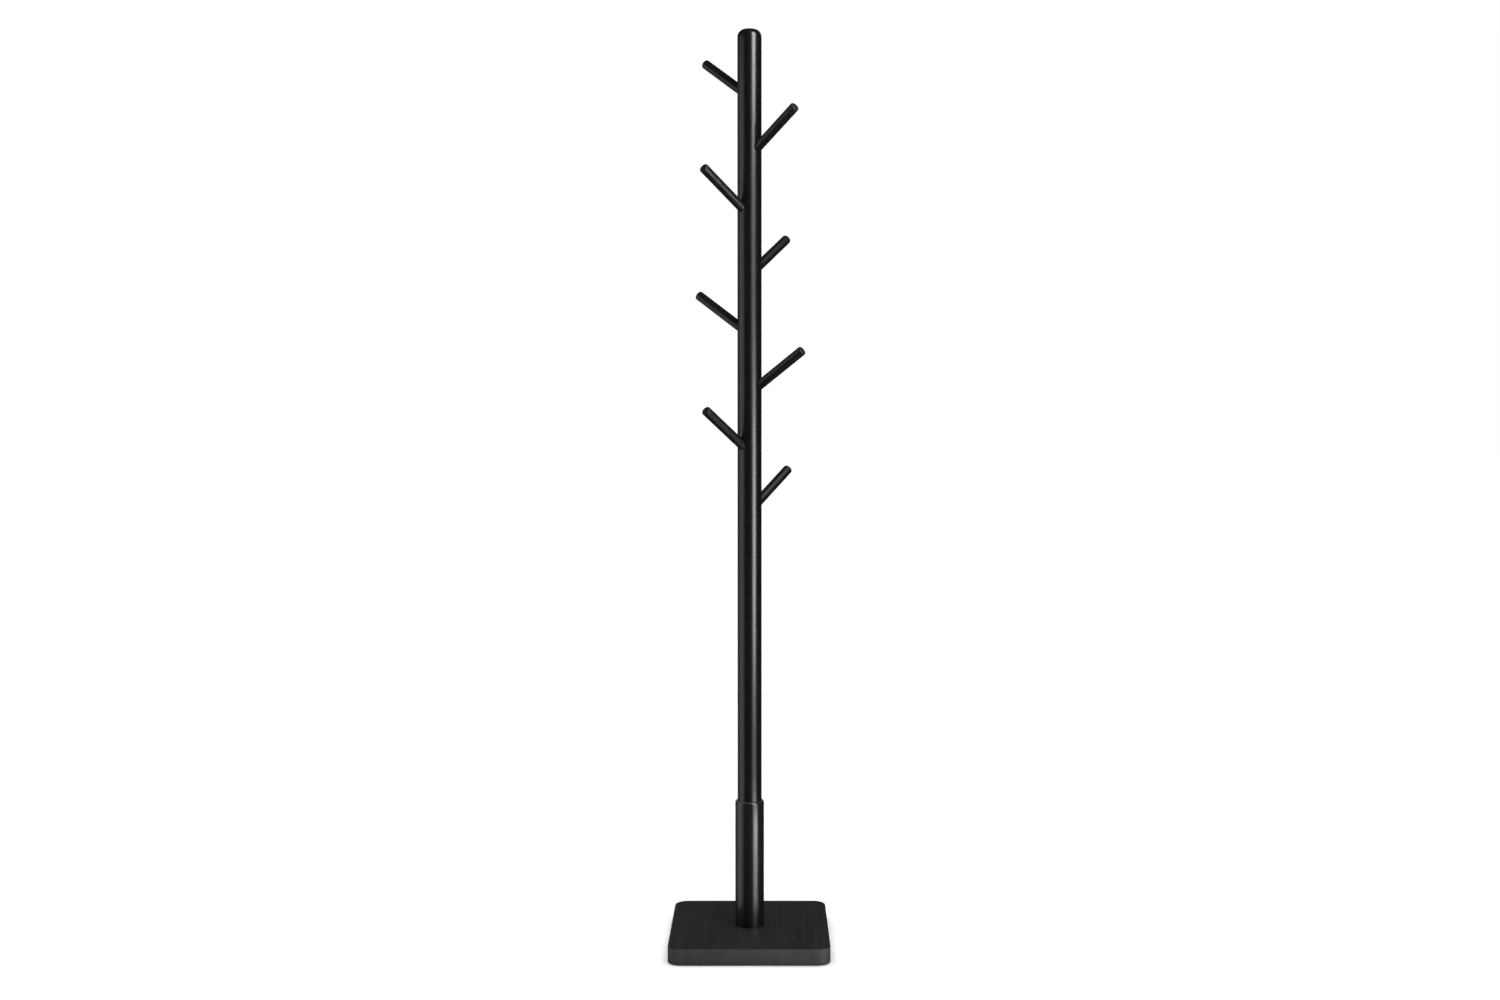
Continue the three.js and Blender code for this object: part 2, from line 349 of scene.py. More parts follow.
def lacquered_wood(name, dark, light, gloss, grain_axis, relief, fine=1.0, wear_and_glint_colour=RUBBED_AND_GLINT, **shader):
    """Black-finished wood: long grain streaks along one axis under the finish.

    `gloss` is its roughness from the smoothest to the dullest place, `fine` how much finer its
    grain is than the pole's, and `wear_and_glint_colour` the colour of its rubbed places, its matt tips
    and of a painted highlight, where mark_wear_and_glint marks them.
    """
    def streaks(across, along):
        """Noise scales per metre that draw the noise out along the grain."""
        scale = [across * fine] * 3
        scale[grain_axis] = along * fine
        return scale

    finish = Finish(name, **shader)
    grain = finish.noise(streaks(900, 14), detail=5, roughness=0.6)
    broad = finish.noise(streaks(170, 5), detail=3, distortion=0.6)
    mottle = finish.noise([35, 35, 35], detail=3)
    specks = finish.noise([2600, 2600, 2600], detail=2)
    tone = finish.maths("MULTIPLY", finish.levels(broad, (0.3, 0.7), (0.55, 1)), grain)
    colour = finish.ramp(tone, (0.18, dark), (0.62, light))
    # edge: the rubbed places, the matt tips and the post's painted highlight, lighter colour standing in
    # for a glint
    edge = finish.maths("MULTIPLY", finish.attribute("wear_and_glint"), finish.levels(mottle, (0.4, 0.65), (0.3, 1)))
    finish.link(finish.blended(edge, colour, wear_and_glint_colour), finish.shader.inputs["Base Color"])
    rub = finish.maths("ADD", finish.levels(mottle, (0.3, 0.7), gloss),
                       finish.levels(grain, (0.3, 0.7), (-0.01, 0.01)))
    finish.link(finish.maths("ADD", rub, finish.levels(edge, (0, 1), (0, 0.25))),
                finish.shader.inputs["Roughness"])
    finish.bump(*((height, 1, depth) for height, depth in zip((broad, grain, specks), relief)))
    return finish.material


def pole_lacquer():
    return lacquered_wood(
        "pole_lacquer",
        dark=(0.0052, 0.0051, 0.0062),
        light=(0.01, 0.0098, 0.0118),
        gloss=(0.24, 0.27),
        grain_axis=ALONG_Z,
        relief=POLISHED,
        IOR=1.33,
    )


def post_lacquer():
    return lacquered_wood(
        "post_lacquer",
        dark=(0.008, 0.0078, 0.009),
        light=(0.014, 0.0138, 0.0155),
        gloss=(0.22, 0.26),
        grain_axis=ALONG_Z,
        relief=POLISHED,
        IOR=1.36,
    )


def base_top_lacquer():
    return lacquered_wood(
        "base_top",
        dark=(0.0078, 0.0076, 0.0084),
        light=(0.0168, 0.0165, 0.0178),
        gloss=(0.46, 0.54),
        grain_axis=ALONG_Y,
        relief=OPEN_GRAINED,
        fine=0.4,
        IOR=1.3,
    )


# Painted light: the board's upright faces get about three times the top's colour, standing in for the light
# that falls on its front
def base_side_with_painted_light():
    return lacquered_wood(
        "base_side_painted_light",
        dark=(0.022, 0.0216, 0.0235),
        light=(0.052, 0.0512, 0.055),
        gloss=(0.62, 0.7),
        grain_axis=ALONG_Z,
        relief=OPEN_GRAINED,
        fine=0.4,
        IOR=1.25,
    )


def peg_stain():
    return lacquered_wood(
        "peg_stain",
        dark=(0.002, 0.0019, 0.0021),
        light=(0.009, 0.0087, 0.0091),
        gloss=(0.36, 0.44),
        grain_axis=ALONG_Z,
        relief=STAINED,
        fine=1.2,
        wear_and_glint_colour=END_GRAIN,
        IOR=1.31,
    )


def bare_wood():
    """Unfinished pale hardwood on the faces and holes that the joints hide."""
    finish = Finish("bare_wood", Roughness=0.7, IOR=1.4)
    rings = finish.tree.nodes.new("ShaderNodeTexWave")
    rings.wave_type = "RINGS"
    rings.rings_direction = "Z"
    rings.inputs["Scale"].default_value = 90
    rings.inputs["Distortion"].default_value = 3
    rings.inputs["Detail"].default_value = 3
    finish.link(finish.place, rings.inputs["Vector"])
    pores = finish.noise([1800, 1800, 200], detail=3)
    tone = finish.maths("MULTIPLY", rings.outputs["Fac"], finish.levels(pores, (0.3, 0.7), (0.6, 1)))
    colour = finish.ramp(tone, (0.1, (0.32, 0.2, 0.11)), (0.9, (0.56, 0.4, 0.25)))
    finish.link(colour, finish.shader.inputs["Base Color"])
    finish.bump((pores, 0.3, 0.1 * MM))
    return finish.material


def turned_metal(name, dark, light, roughness):
    """Plated or plain metal with fine turning marks around it and slight staining."""
    finish = Finish(name, Metallic=1.0)
    marks = finish.noise([40, 40, 9000], detail=3)
    stain = finish.noise([320, 320, 320], detail=4)
    finish.link(finish.ramp(stain, (0.3, dark), (0.65, light)), finish.shader.inputs["Base Color"])
    finish.link(finish.levels(marks, (0.3, 0.7), roughness), finish.shader.inputs["Roughness"])
    finish.bump((marks, 0.15, 0.02 * MM))
    return finish.material


def felt():
    finish = Finish("felt", Sheen_Weight=0.4, Sheen_Roughness=0.5, IOR=1.4)
    fibres = finish.noise([2200, 2200, 2200], detail=6, distortion=2)
    clumps = finish.noise([260, 260, 260], detail=4)
    finish.link(finish.ramp(clumps, (0.3, (0.008, 0.008, 0.008)), (0.7, (0.03, 0.03, 0.03))),
                finish.shader.inputs["Base Color"])
    finish.link(finish.levels(fibres, (0.3, 0.7), (0.85, 1)), finish.shader.inputs["Roughness"])
    finish.bump((clumps, 0.5, 0.3 * MM), (fibres, 0.7, 0.15 * MM))
    return finish.material


def floor_paint():
    finish = Finish("floor_paint", IOR=1.3)
    cloud = finish.noise([3, 3, 3], detail=3)
    finish.link(finish.ramp(cloud, (0.3, (0.86, 0.86, 0.86)), (0.7, (0.9, 0.9, 0.9))),
                finish.shader.inputs["Base Color"])
    finish.link(finish.levels(cloud, (0.3, 0.7), (0.7, 0.85)), finish.shader.inputs["Roughness"])
    return finish.material


# ---- Mesh helpers ----

def arc(centre_r, centre_z, wide, tall, start, end, steps):
    """Points of an elliptical arc in (radius, height), angles in degrees from the +radius side."""
    points = []
    for i in range(steps + 1):
        a = math.radians(start + (end - start) * i / steps)
        points.append((centre_r + wide * math.cos(a), centre_z + tall * math.sin(a)))
    return points


def straight(r, z_from, z_to, step):
    """Points up a wall of constant radius, no further apart than `step`, without its two ends."""
    count = max(1, math.ceil(abs(z_to - z_from) / step))
    return [(r, z_from + (z_to - z_from) * i / count) for i in range(1, count)]


def new_object(name, mesh, materials):
    """Puts a mesh in the scene with its materials."""
    piece = bpy.data.objects.new(name, mesh)
    for material in materials:
        mesh.materials.append(material)
    bpy.context.scene.collection.objects.link(piece)
    return piece


def turned(outline, sides, closed=False):
    """A bmesh turned about Z from (radius, height) points. Points on the axis close its ends."""
    mesh = bmesh.new()
    rings = []
    for r, z in outline:
        if r < 1e-9:
            rings.append([mesh.verts.new((0, 0, z))])
            continue
        ring = []
        for i in range(sides):
            a = 2 * math.pi * i / sides
            ring.append(mesh.verts.new((r * math.cos(a), r * math.sin(a), z)))
        rings.append(ring)
    pairs = list(zip(rings, rings[1:]))
    if closed:
        pairs.append((rings[-1], rings[0]))
    for below, above in pairs:
        for i in range(sides):
            j = (i + 1) % sides
            corners = [
                below[i % len(below)],
                below[j % len(below)],
                above[j % len(above)],
                above[i % len(above)],
            ]
            mesh.faces.new(list(dict.fromkeys(corners)))
    bmesh.ops.recalc_face_normals(mesh, faces=mesh.faces)
    return mesh


def to_mesh(name, built, sharp_degrees=SHARP_DEGREES):
    """The bmesh as a smooth mesh whose edges stay crisp above an angle."""
    mesh = bpy.data.meshes.new(name)
    built.to_mesh(mesh)
    built.free()
    shade(mesh, sharp_degrees)
    return mesh


def shade(mesh, sharp_degrees=SHARP_DEGREES):
    """Smooth shading, with crisp edges above an angle."""
    mesh.polygons.foreach_set("use_smooth", [True] * len(mesh.polygons))
    mesh.set_sharp_from_angle(angle=math.radians(sharp_degrees))


def paint_faces(mesh, index, test):
    """Gives material `index` to the faces whose centre and normal pass the test."""
    for face in mesh.polygons:
        if test(face.center, face.normal):
            face.material_index = index


def is_at(height, heights):
    """Whether a height is one of those listed."""
    return any(abs(height - other) < 0.01 * MM for other in heights)


def mark_wear_and_glint(mesh, amount):
    """Stores an amount from 0 to 1 at each point for the finishes to read: rubbing, matt tips and a painted
    highlight.
    """
    layer = mesh.attributes.new("wear_and_glint", "FLOAT", "POINT")
    layer.data.foreach_set("value", [max(0.0, min(1.0, amount(v.co))) for v in mesh.vertices])


def cut(piece, cutters):
    """Takes the cutters out of the piece and applies the result."""
    for index, cutter in enumerate(cutters):
        modifier = piece.modifiers.new(f"cut_{index}", "BOOLEAN")
        modifier.object = cutter
        modifier.solver = "EXACT"
        modifier.material_mode = "TRANSFER"
    depsgraph = bpy.context.evaluated_depsgraph_get()
    result = bpy.data.meshes.new_from_object(piece.evaluated_get(depsgraph))
    result.name = piece.data.name
    piece.modifiers.clear()
    piece.data = result
    for cutter in cutters:
        bpy.data.objects.remove(cutter)


def simple_hole(radius, z_from, z_to, material, sides=FITTING_SIDES):
    """A round cutter about Z between two heights, which leaves `material` on the walls it cuts."""
    built = turned([(0, z_from), (radius, z_from), (radius, z_to), (0, z_to)], sides)
    return new_object("cutter", to_mesh("cutter", built), [material])


def stands_for(piece, node, body):
    """The piece rides on a body and takes the place of a CAD node."""
    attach(piece, body)
    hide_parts(node)


# ---- Base ----

def board_outline(half, corner, steps=14):
    """Points round a square with rounded corners, anticlockwise from the front left."""
    points = []
    for turn, (sx, sy) in enumerate([(-1, -1), (1, -1), (1, 1), (-1, 1)]):
        centre_x = sx * (half - corner)
        centre_y = sy * (half - corner)
        for i in range(steps + 1):
            a = math.radians(180 + 90 * turn + 90 * i / steps)
            points.append((centre_x + corner * math.cos(a), centre_y + corner * math.sin(a)))
    return points


def base_board(top_finish, side_finish_with_painted_light, inside):
    """The square board with eased edges, a hole for its bolt and washer, and recesses for its pads."""
    bottom = low("base_board")[2]
    top = high("base_board")[2]
    half = high("base_board")[0]
    edge = [
        *arc(half - BOARD_EASE, bottom + BOARD_EASE, BOARD_EASE, BOARD_EASE, -90, 0, 5),
        *arc(half - BOARD_EASE, top - BOARD_EASE, BOARD_EASE, BOARD_EASE, 0, 90, 5),
    ]
    built = bmesh.new()
    rings = []
    for reach, z in edge:
        outline = board_outline(reach, BOARD_CORNER - (half - reach))
        rings.append([built.verts.new((x, y, z)) for x, y in outline])
    for below, above in zip(rings, rings[1:]):
        for i in range(len(below)):
            j = (i + 1) % len(below)
            built.faces.new([below[i], below[j], above[j], above[i]])
    built.faces.new(rings[-1])
    built.faces.new(list(reversed(rings[0])))
    board = new_object("board", to_mesh("board", built), [top_finish, side_finish_with_painted_light, inside])
    # The upright faces take the lighter side finish, whose extra brightness is painted light
    paint_faces(board.data, 1, lambda centre, normal: abs(normal.z) < 0.7)
    washer_top = high("base_washer")[2]
    cutters = [
        simple_hole(POLE_SCREW.radius + HOLE_GAP, bottom - OVERSHOOT, top + OVERSHOOT, inside),
        simple_hole(COUNTERBORE_RADIUS, bottom - OVERSHOOT, washer_top + HOLE_GAP, inside, sides=PEG_SIDES),
    ]
    for node in FOOT_PADS:
        x, y, radius = pad_place(node)
        recess = simple_hole(radius + HOLE_GAP, bottom - OVERSHOOT, high(node)[2] + HOLE_GAP, inside)
        recess.location = (x, y, 0)
        cutters.append(recess)
    bpy.context.view_layer.update()
    cut(board, cutters)
    shade(board.data, sharp_degrees=50)
    rim = 1.1 * BOARD_EASE

    def near_edge(point):
        """A little rubbing on the eased top edge, and none elsewhere."""
        side = max(abs(point.x), abs(point.y))
        return 0.3 if top - point.z < rim and half - side < rim else 0

    mark_wear_and_glint(board.data, near_edge)
    stands_for(board, "base_board", "stand")


def pad_place(node):
    """A pad's middle and its radius."""
    (x0, y0, _), (x1, y1, _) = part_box(node)
    return (x0 + x1) / 2, (y0 + y1) / 2, (x1 - x0) / 2


def foot_pads(finish):
    """Thin felt discs with softened edges."""
    for node in FOOT_PADS:
        x, y, radius = pad_place(node)
        z0 = low(node)[2]
        z1 = high(node)[2]
        outline = [
            (0, z0),
            *arc(radius - PAD_EDGE, z0 + PAD_EDGE, PAD_EDGE, PAD_EDGE, -90, 0, 4),
            *arc(radius - PAD_EDGE, z1 - PAD_EDGE, PAD_EDGE, PAD_EDGE, 0, 90, 4),
            (0, z1),
        ]
        built = turned(outline, FITTING_SIDES)
        pad = new_object(node.removeprefix("foot_"), to_mesh(node, built, sharp_degrees=60), [finish])
        pad.location = (x, y, 0)
        stands_for(pad, node, "stand")


# ---- Screws and inserts ----

def helical_skin(built, radius, depth, pitch, z_from, z_to):
    """Adds the open skin of a helical thread between two heights."""
    turns = math.ceil((z_to - z_from) / pitch) + 1
    columns = []
    for i in range(SCREW_SIDES + 1):
        around = 2 * math.pi * i / SCREW_SIDES
        column = []
        for turn in range(-1, turns):
            for phase, sunk in THREAD_CORNERS:
                z = z_from + (turn + phase + i / SCREW_SIDES) * pitch
                clear = z <= z_from or z >= z_to
                r = radius - (depth if sunk or clear else 0)
                z = min(max(z, z_from), z_to)
                column.append(built.verts.new((r * math.cos(around), r * math.sin(around), z)))
        columns.append(column)
    for left, right in zip(columns, columns[1:]):
        for j in range(len(left) - 1):
            built.faces.new([left[j], right[j], right[j + 1], left[j + 1]])


def cap_ends(built):
    """Merges doubled points, clears what collapsed and closes every open ring."""
    bmesh.ops.remove_doubles(built, verts=built.verts, dist=1e-6)
    bmesh.ops.dissolve_degenerate(built, edges=built.edges, dist=1e-6)
    loose = [v for v in built.verts if not v.link_faces]
    bmesh.ops.delete(built, geom=loose, context="VERTS")
    open_edges = [e for e in built.edges if e.is_boundary]
    bmesh.ops.holes_fill(built, edges=open_edges)
    bmesh.ops.recalc_face_normals(built, faces=built.faces)


def threaded_bar(radius, depth, pitch, z_from, z_to):
    """A closed threaded stretch about Z."""
    built = bmesh.new()
    helical_skin(built, radius, depth, pitch, z_from, z_to)
    cap_ends(built)
    return built


def join(parts):
    """Joins the parts into the first one."""
    chosen = {"selected_objects": parts, "selected_editable_objects": parts}
    with bpy.context.temp_override(active_object=parts[0], **chosen):
        bpy.ops.object.join()


def assembled(name, pieces, finish):
    """One object made of several closed bodies that touch, such as the stretches of a screw."""
    parts = [new_object(name, to_mesh(name, built), [finish]) for built in pieces]
    join(parts)
    return parts[0]


def hanger_bolt(name, size, finish):
    """A two-ended screw about Z: machine thread below 0, a collar, then coarse wood thread."""
    radius, metal_length, wood_length = size
    depth = radius * THREAD_DEPTH
    root = radius - depth
    tip_top = -metal_length + depth
    metal = threaded_bar(radius, depth, radius * METAL_PITCH, tip_top, -HOLE_GAP)
    wood = threaded_bar(radius, radius * WOOD_THREAD_DEPTH, radius * WOOD_PITCH, radius, wood_length)
    collar_outline = [(0, -HOLE_GAP), (root, -HOLE_GAP), (radius, 0), (radius, radius), (0, radius)]
    tip_outline = [(0, -metal_length), (root - depth, -metal_length), (root, tip_top), (0, tip_top)]
    collar = turned(collar_outline, SCREW_SIDES)
    tip = turned(tip_outline, SCREW_SIDES)
    return assembled(name, (metal, wood, collar, tip), finish)


def insert_sleeve(name, size, finish):
    """A brass insert about Z, its mouth at 0: a flange, and barbs down its outside."""
    outer, bore, length = size
    shank = outer * SLEEVE_SHANK
    barb = (length - SLEEVE_PLAIN) / BARB_COUNT
    barbs = []
    for i in range(BARB_COUNT):
        z = -length + barb * i
        barbs += [(shank, z), (outer, z + barb * BARB_SLOPE)]
    outline = [
        (bore + SLEEVE_MOUTH, 0),
        (bore, -SLEEVE_MOUTH),
        (bore, -length),
        *barbs,
        (shank, -SLEEVE_FLANGE - METAL_EASE),
        (outer, -SLEEVE_FLANGE),
        (outer, -METAL_EASE),
        (outer - METAL_EASE, 0),
    ]
    built = turned(outline, FITTING_SIDES, closed=True)
    return new_object(name, to_mesh(name, built, sharp_degrees=25), [finish])


def base_bolt(finish):
    """The bolt under the board: a domed head with a hexagon socket, then a shank and a thread."""
    foot = low("base_bolt")[2]
    head_top = foot + HEAD_HEIGHT
    tip = high("base_bolt")[2]
    head_radius = radius_of("base_bolt")
    radius = POLE_SCREW.radius
    board_top = high("base_board")[2]
    dome_wide = head_radius * DOME_WIDE
    dome_tall = HEAD_HEIGHT * DOME_TALL
    head = turned([
        (0, foot),
        *arc(head_radius - dome_wide, foot + dome_tall, dome_wide, dome_tall, -90, 0, 10),
        (head_radius, head_top - HEAD_EASE),
        (head_radius - HEAD_EASE, head_top),
        (0, head_top),
    ], FITTING_SIDES)
    head_piece = new_object("bolt_under_base", to_mesh("bolt_under_base", head), [finish])
    cut(head_piece, [simple_hole(HEX_RADIUS, foot - OVERSHOOT, foot + HEX_DEPTH, finish, sides=6)])
    shade(head_piece.data, sharp_degrees=35)
    shank = turned([(0, head_top), (radius, head_top), (radius, board_top), (0, board_top)], SCREW_SIDES)
    thread = threaded_bar(radius, radius * THREAD_DEPTH, radius * METAL_PITCH, board_top, tip)
    join([head_piece, assembled("bolt_shank", (shank, thread), finish)])
    stands_for(head_piece, "base_bolt", "stand")


def base_washer(finish):
    """The flat washer between the bolt's head and the board."""
    bottom = low("base_washer")[2]
    top = high("base_washer")[2]
    bore = POLE_SCREW.radius + HOLE_GAP
    outer = radius_of("base_washer")
    outline = [
        (bore, top - METAL_EASE),
        (bore, bottom + METAL_EASE),
        (bore + METAL_EASE, bottom),
        (outer - METAL_EASE, bottom),
        (outer, bottom + METAL_EASE),
        (outer, top - METAL_EASE),
        (outer - METAL_EASE, top),
        (bore + METAL_EASE, top),
    ]
    built = turned(outline, FITTING_SIDES, closed=True)
    washer = new_object("washer_under_base", to_mesh("washer", built), [finish])
    stands_for(washer, "base_washer", "stand")


def post_sleeves(finish):
    """The inserts in the post: one at its foot, mouth down, and one under the pole's recess, mouth up."""
    foot = insert_sleeve("post_foot_sleeve", POLE_SLEEVE, finish)
    foot.rotation_euler = (math.pi, 0, 0)
    foot.location = (0, 0, low("post_foot_insert")[2])
    stands_for(foot, "post_foot_insert", "stand")
    head = insert_sleeve("post_head_sleeve", POLE_SLEEVE, finish)
    head.location = (0, 0, high("post_head_insert")[2])
    stands_for(head, "post_head_insert", "stand")


# ---- Post and pole ----

def screw_hole(size, mouth, inside):
    """The hole in the wood for a screw that goes in upwards at height `mouth`."""
    deep = mouth + size.wood_length + SCREW_ROOM
    return simple_hole(size.radius + HOLE_GAP, mouth - OVERSHOOT, deep, inside)


def sleeve_holes(size, mouth, inside, upward=1):
    """The stepped hole of an insert whose mouth is at height `mouth`, and which runs down, or up for -1."""
    outer, bore, length = size
    deep = mouth - upward * (length + HOLE_GAP)
    wide = sorted((deep, mouth + upward * OVERSHOOT))
    narrow = sorted((deep - upward * TIP_ROOM, deep + upward * OVERSHOOT))
    return [simple_hole(outer + HOLE_GAP, *wide, inside), simple_hole(bore, *narrow, inside)]


def post(finish, inside):
    """The thick post, with a rounded top edge, the pole's recess and the holes of its two inserts."""
    foot = low("post")[2]
    top = high("post")[2]
    radius = radius_of("post")
    mouth = radius_of("pole_lower") + HOLE_GAP
    seat = low("pole_lower")[2] - HOLE_GAP
    wide = radius - mouth - SHOULDER_LEDGE
    outline = [
        (0, foot),
        (radius - END_EASE, foot),
        *arc(radius - END_EASE, foot + END_EASE, END_EASE, END_EASE, -60, 0, 3),
        *straight(radius, foot + END_EASE, top - SHOULDER_TALL, POST_STEP),
        *arc(radius - wide, top - SHOULDER_TALL, wide, SHOULDER_TALL, 0, 90, 12),
        (0, top),
    ]
    body = new_object("post_body", to_mesh("post_body", turned(outline, POLE_SIDES)), [finish, inside])
    cutters = [
        simple_hole(mouth, seat, top + OVERSHOOT, finish, sides=POLE_SIDES),
        *sleeve_holes(POLE_SLEEVE, seat, inside),
        *sleeve_holes(POLE_SLEEVE, low("post_foot_insert")[2], inside, upward=-1),
    ]
    cut(body, cutters)
    shade(body.data)
    # Painted highlight: a lighter rim around the pole's recess stands in for the glint on the shoulder's
    # edge
    mark_wear_and_glint(body.data, lambda p: 1 if top - p.z < PAINTED_GLINT_TALL and p.xy.length > mouth * 0.99 else 0)
    stands_for(body, "post", "stand")


def peg_matrix(number):
    """Where peg `number` is: its origin on the pole's axis, its +Z out along the peg."""
    along = Vector(PEG_JOINTS[f"peg_{number}_body"]["axis"]).normalized()
    low_corner, high_corner = (Vector(c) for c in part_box(f"peg_{number}"))
    middle = (low_corner + high_corner) / 2
    reach = middle.xy.length / along.xy.length
    origin = Vector((0, 0, middle.z - reach * along.z))
    side = Vector((0, 0, 1)).cross(along).normalized()
    up = along.cross(side)
    turn = Matrix((up, side, along)).transposed()
    return Matrix.Translation(origin) @ turn.to_4x4()


def socket_cutter(number, radius, seat, pole_radius, material, lacquer):
    """The peg's hole: a straight socket whose mouth is chamfered evenly all round the pole's skin.

    The mouth follows the curve where the hole meets the pole, worked out in the peg's own frame.
    """
    matrix = peg_matrix(number)
    rise = matrix.col[2].z
    flat = math.sqrt(1 - rise * rise)

    def skin(r, angle):
        """Distance along the peg to the pole's skin, from r off the peg's axis; angle 0 is below it."""
        across = r * math.sin(angle)
        inward = r * math.cos(angle) * rise
        return (math.sqrt(pole_radius ** 2 - across ** 2) + inward) / flat

    past_skin = 0.05 * MM
    clear_of_pole = 3 * pole_radius
    rings = [
        lambda a: (radius, seat),
        lambda a: (radius, skin(radius, a) - MOUTH_CHAMFER - LACQUERED_RIM),
        lambda a: (radius, skin(radius, a) - MOUTH_CHAMFER),
        lambda a: (radius + MOUTH_CHAMFER, skin(radius + MOUTH_CHAMFER, a) + past_skin),
        lambda a: (radius + MOUTH_CHAMFER, clear_of_pole),
    ]
    built = bmesh.new()
    made = []
    for ring in rings:
        row = []
        for i in range(PEG_SIDES):
            a = 2 * math.pi * i / PEG_SIDES
            r, z = ring(a)
            row.append(built.verts.new((-r * math.cos(a), r * math.sin(a), z)))
        made.append(row)
    for index, (below, above) in enumerate(zip(made, made[1:])):
        for i in range(PEG_SIDES):
            j = (i + 1) % PEG_SIDES
            face = built.faces.new([below[i], below[j], above[j], above[i]])
            face.material_index = min(index, 1)
    built.faces.new(made[0])
    built.faces.new(made[-1])
    bmesh.ops.recalc_face_normals(built, faces=built.faces)
    cutter = new_object("cutter", to_mesh("cutter", built), [material, lacquer])
    cutter.matrix_world = matrix
    return cutter


def pole_section(node, body, finish, inside):
    """A length of the pole with its pegs' sockets: the last one is crowned, the others hold an insert."""
    pegs = [n for n in PEG_NUMBERS if PEG_JOINTS[f"peg_{n}_body"]["parent"] == body]
    foot = low(node)[2] - HOLE_GAP + SEAM
    top = high(node)[2]
    radius = radius_of(node)
    rim = radius - LACQUERED_RIM
    crowned = f"{node}_insert" not in frame["nodes"]
    step = SOCKETED_STEP if pegs else PLAIN_STEP
    if crowned:
        crown_base = top - CROWN_TALL
        head = arc(radius - CROWN_WIDE, crown_base, CROWN_WIDE, CROWN_TALL, 0, 90, 24)
    else:
        crown_base = top - END_EASE
        head = [(radius, crown_base), (radius - END_EASE, top), (rim, top)]
    outline = [
        (0, foot),
        (rim, foot),
        (radius - END_EASE, foot),
        (radius, foot + END_EASE),
        *straight(radius, foot + END_EASE, crown_base, step),
        *head,
        (0, top),
    ]
    piece = new_object(f"{node}_section", to_mesh(node, turned(outline, POLE_SIDES)), [finish, inside])
    ends = [foot] if crowned else [foot, top]
    paint_faces(piece.data, 1, lambda centre, normal: centre.xy.length < rim and is_at(centre.z, ends))
    cutters = [screw_hole(POLE_SCREW, foot, inside)]
    if not crowned:
        cutters += sleeve_holes(POLE_SLEEVE, top, inside)
    for number in pegs:
        cutters.append(socket_cutter(number, PEG_RADIUS + HOLE_GAP, PEG_SEAT, radius, inside, finish))
        for hole in sleeve_holes(PEG_SLEEVE, PEG_SEAT, inside):
            hole.matrix_world = peg_matrix(number)
            cutters.append(hole)
    bpy.context.view_layer.update()
    cut(piece, cutters)
    shade(piece.data)
    stands_for(piece, node, body)


# ---- Pegs ----

def peg_length(number):
    """From a peg's foot to its tip, from how far its box reaches along X or Y."""
    along = peg_matrix(number).col[2].xyz
    corners = [Vector(c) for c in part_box(f"peg_{number}")]
    span = corners[1] - corners[0]
    return (span.x - 2 * PEG_RADIUS * math.sqrt(1 - along.x ** 2)) / abs(along.x)


def peg(number, finish, inside):
    """A round peg along its own Z, with an eased foot, a hole for its screw and a softened flat tip."""
    foot = PEG_SEAT + HOLE_GAP
    tip = foot + peg_length(number)
    shoulder = tip - PEG_TIP_DOME - PEG_TIP_RADIUS
    flat = PEG_RADIUS - PEG_TIP_RADIUS
    outline = [
        (0, foot),
        (PEG_RADIUS - END_EASE, foot),
        (PEG_RADIUS, foot + END_EASE),
        *straight(PEG_RADIUS, foot + END_EASE, shoulder, PEG_STEP),
        *arc(flat, shoulder, PEG_TIP_RADIUS, PEG_TIP_RADIUS, 0, 84, 8),
        (flat / 2, tip - PEG_TIP_DOME / 4),
        (0, tip),
    ]
    name = f"peg_{number}_wood"
    wood = new_object(name, to_mesh(name, turned(outline, PEG_SIDES)), [finish, inside])
    paint_faces(wood.data, 1, lambda centre, normal: is_at(centre.z, [foot]))
    cut(wood, [screw_hole(PEG_SCREW, foot, inside)])
    shade(wood.data)
    past_shoulder = shoulder + 0.1 * MM
    mark_wear_and_glint(wood.data, lambda p: 1 if p.z > past_shoulder else 0)
    wood.matrix_world = peg_matrix(number)
    stands_for(wood, f"peg_{number}", f"peg_{number}_body")


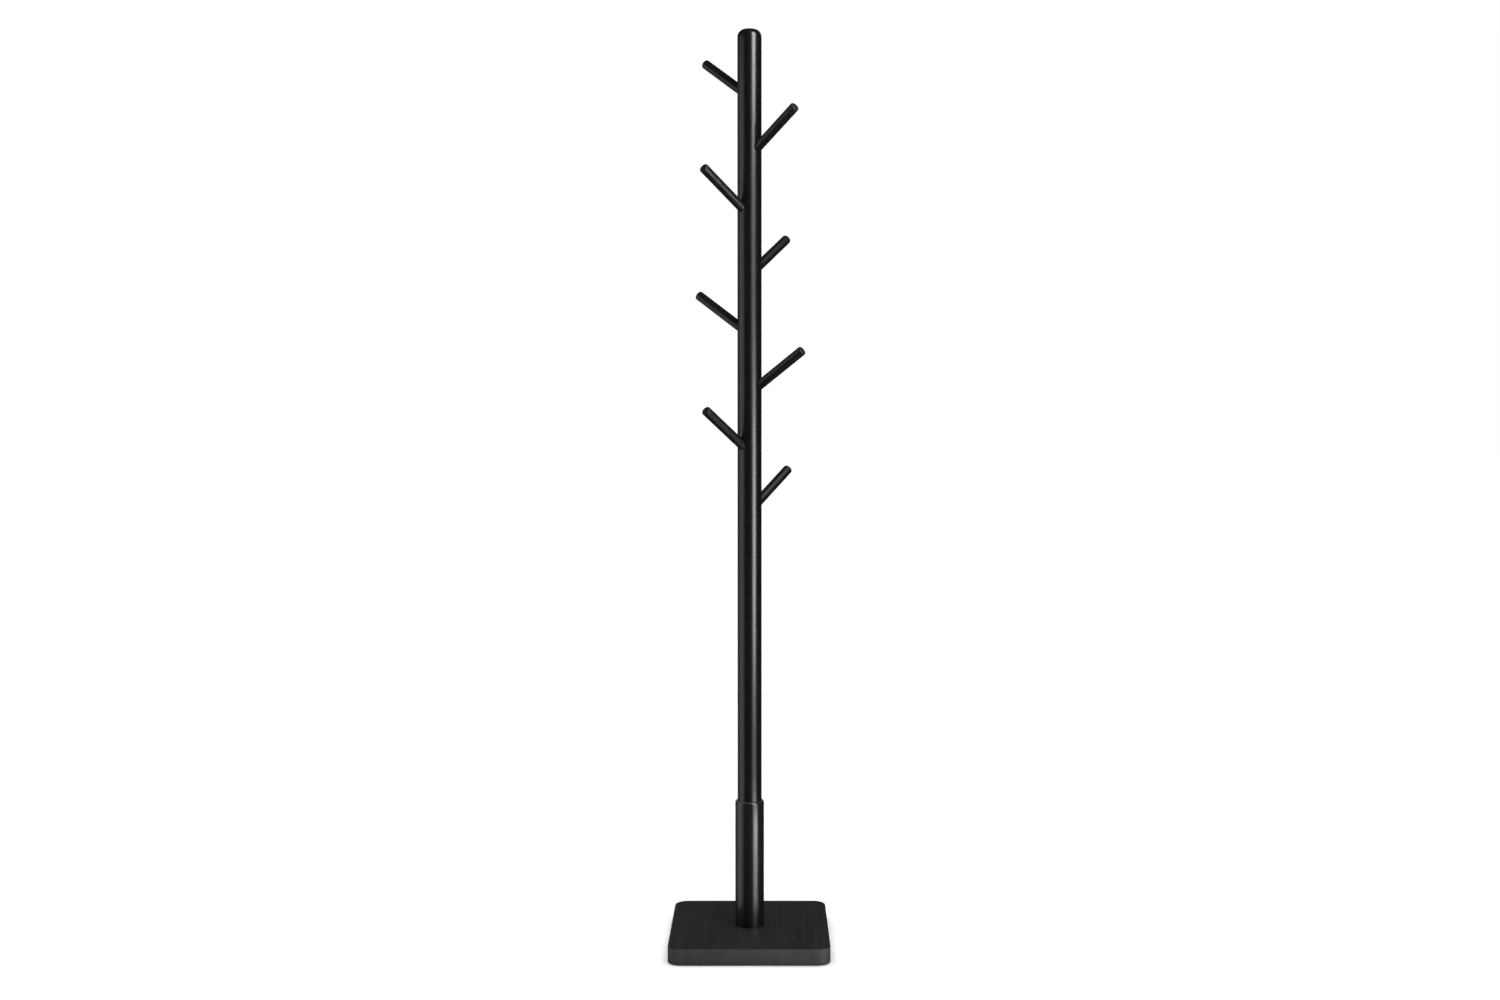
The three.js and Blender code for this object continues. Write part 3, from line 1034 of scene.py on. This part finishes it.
def peg_fittings(number, zinc, brass):
    """The screw in the peg's foot and the brass insert that it runs in."""
    place = peg_matrix(number)
    screw = hanger_bolt(f"peg_{number}_screw", PEG_SCREW, zinc)
    screw.matrix_world = place @ Matrix.Translation((0, 0, PEG_SEAT + HOLE_GAP))
    stands_for(screw, f"peg_{number}_bolt", f"peg_{number}_body")
    sleeve = insert_sleeve(f"peg_{number}_sleeve", PEG_SLEEVE, brass)
    sleeve.matrix_world = place @ Matrix.Translation((0, 0, PEG_SEAT))
    stands_for(sleeve, f"peg_{number}_insert", PEG_JOINTS[f"peg_{number}_body"]["parent"])


# ---- Stage ----

def lay_floor():
    """A pale floor, kept out of reflections and out of the way of the panels that reach below it."""
    built = bmesh.new()
    bmesh.ops.create_circle(built, cap_ends=True, radius=FLOOR_RADIUS, segments=96)
    floor = new_object("floor", to_mesh("floor", built), [floor_paint()])
    floor.visible_glossy = False
    floor.visible_shadow = False


# ---- Making it ----

look_from_front()
light_the_studio()
surround()
lay_floor()

bare = bare_wood()
zinc = turned_metal("zinc_steel", (0.42, 0.43, 0.45), (0.62, 0.63, 0.65), (0.22, 0.38))
brass = turned_metal("brass", (0.42, 0.28, 0.1), (0.63, 0.46, 0.2), (0.25, 0.4))

base_board(base_top_lacquer(), base_side_with_painted_light(), bare)
foot_pads(felt())
base_bolt(zinc)
base_washer(zinc)
post(post_lacquer(), bare)
post_sleeves(brass)

pole_finish = pole_lacquer()
for part in ("lower", "middle", "upper"):
    node = f"pole_{part}"
    body = f"{part}_section"
    pole_section(node, body, pole_finish, bare)
    screw = hanger_bolt(f"{node}_screw", POLE_SCREW, zinc)
    screw.location = (0, 0, low(node)[2])
    stands_for(screw, f"{node}_bolt", body)
    if f"{node}_insert" in frame["nodes"]:
        sleeve = insert_sleeve(f"{node}_sleeve", POLE_SLEEVE, brass)
        sleeve.location = (0, 0, high(node)[2])
        stands_for(sleeve, f"{node}_insert", body)

stain = peg_stain()
for number in PEG_NUMBERS:
    peg(number, stain, bare)
    peg_fittings(number, zinc, brass)

bpy.context.scene.view_settings.view_transform = "Standard"
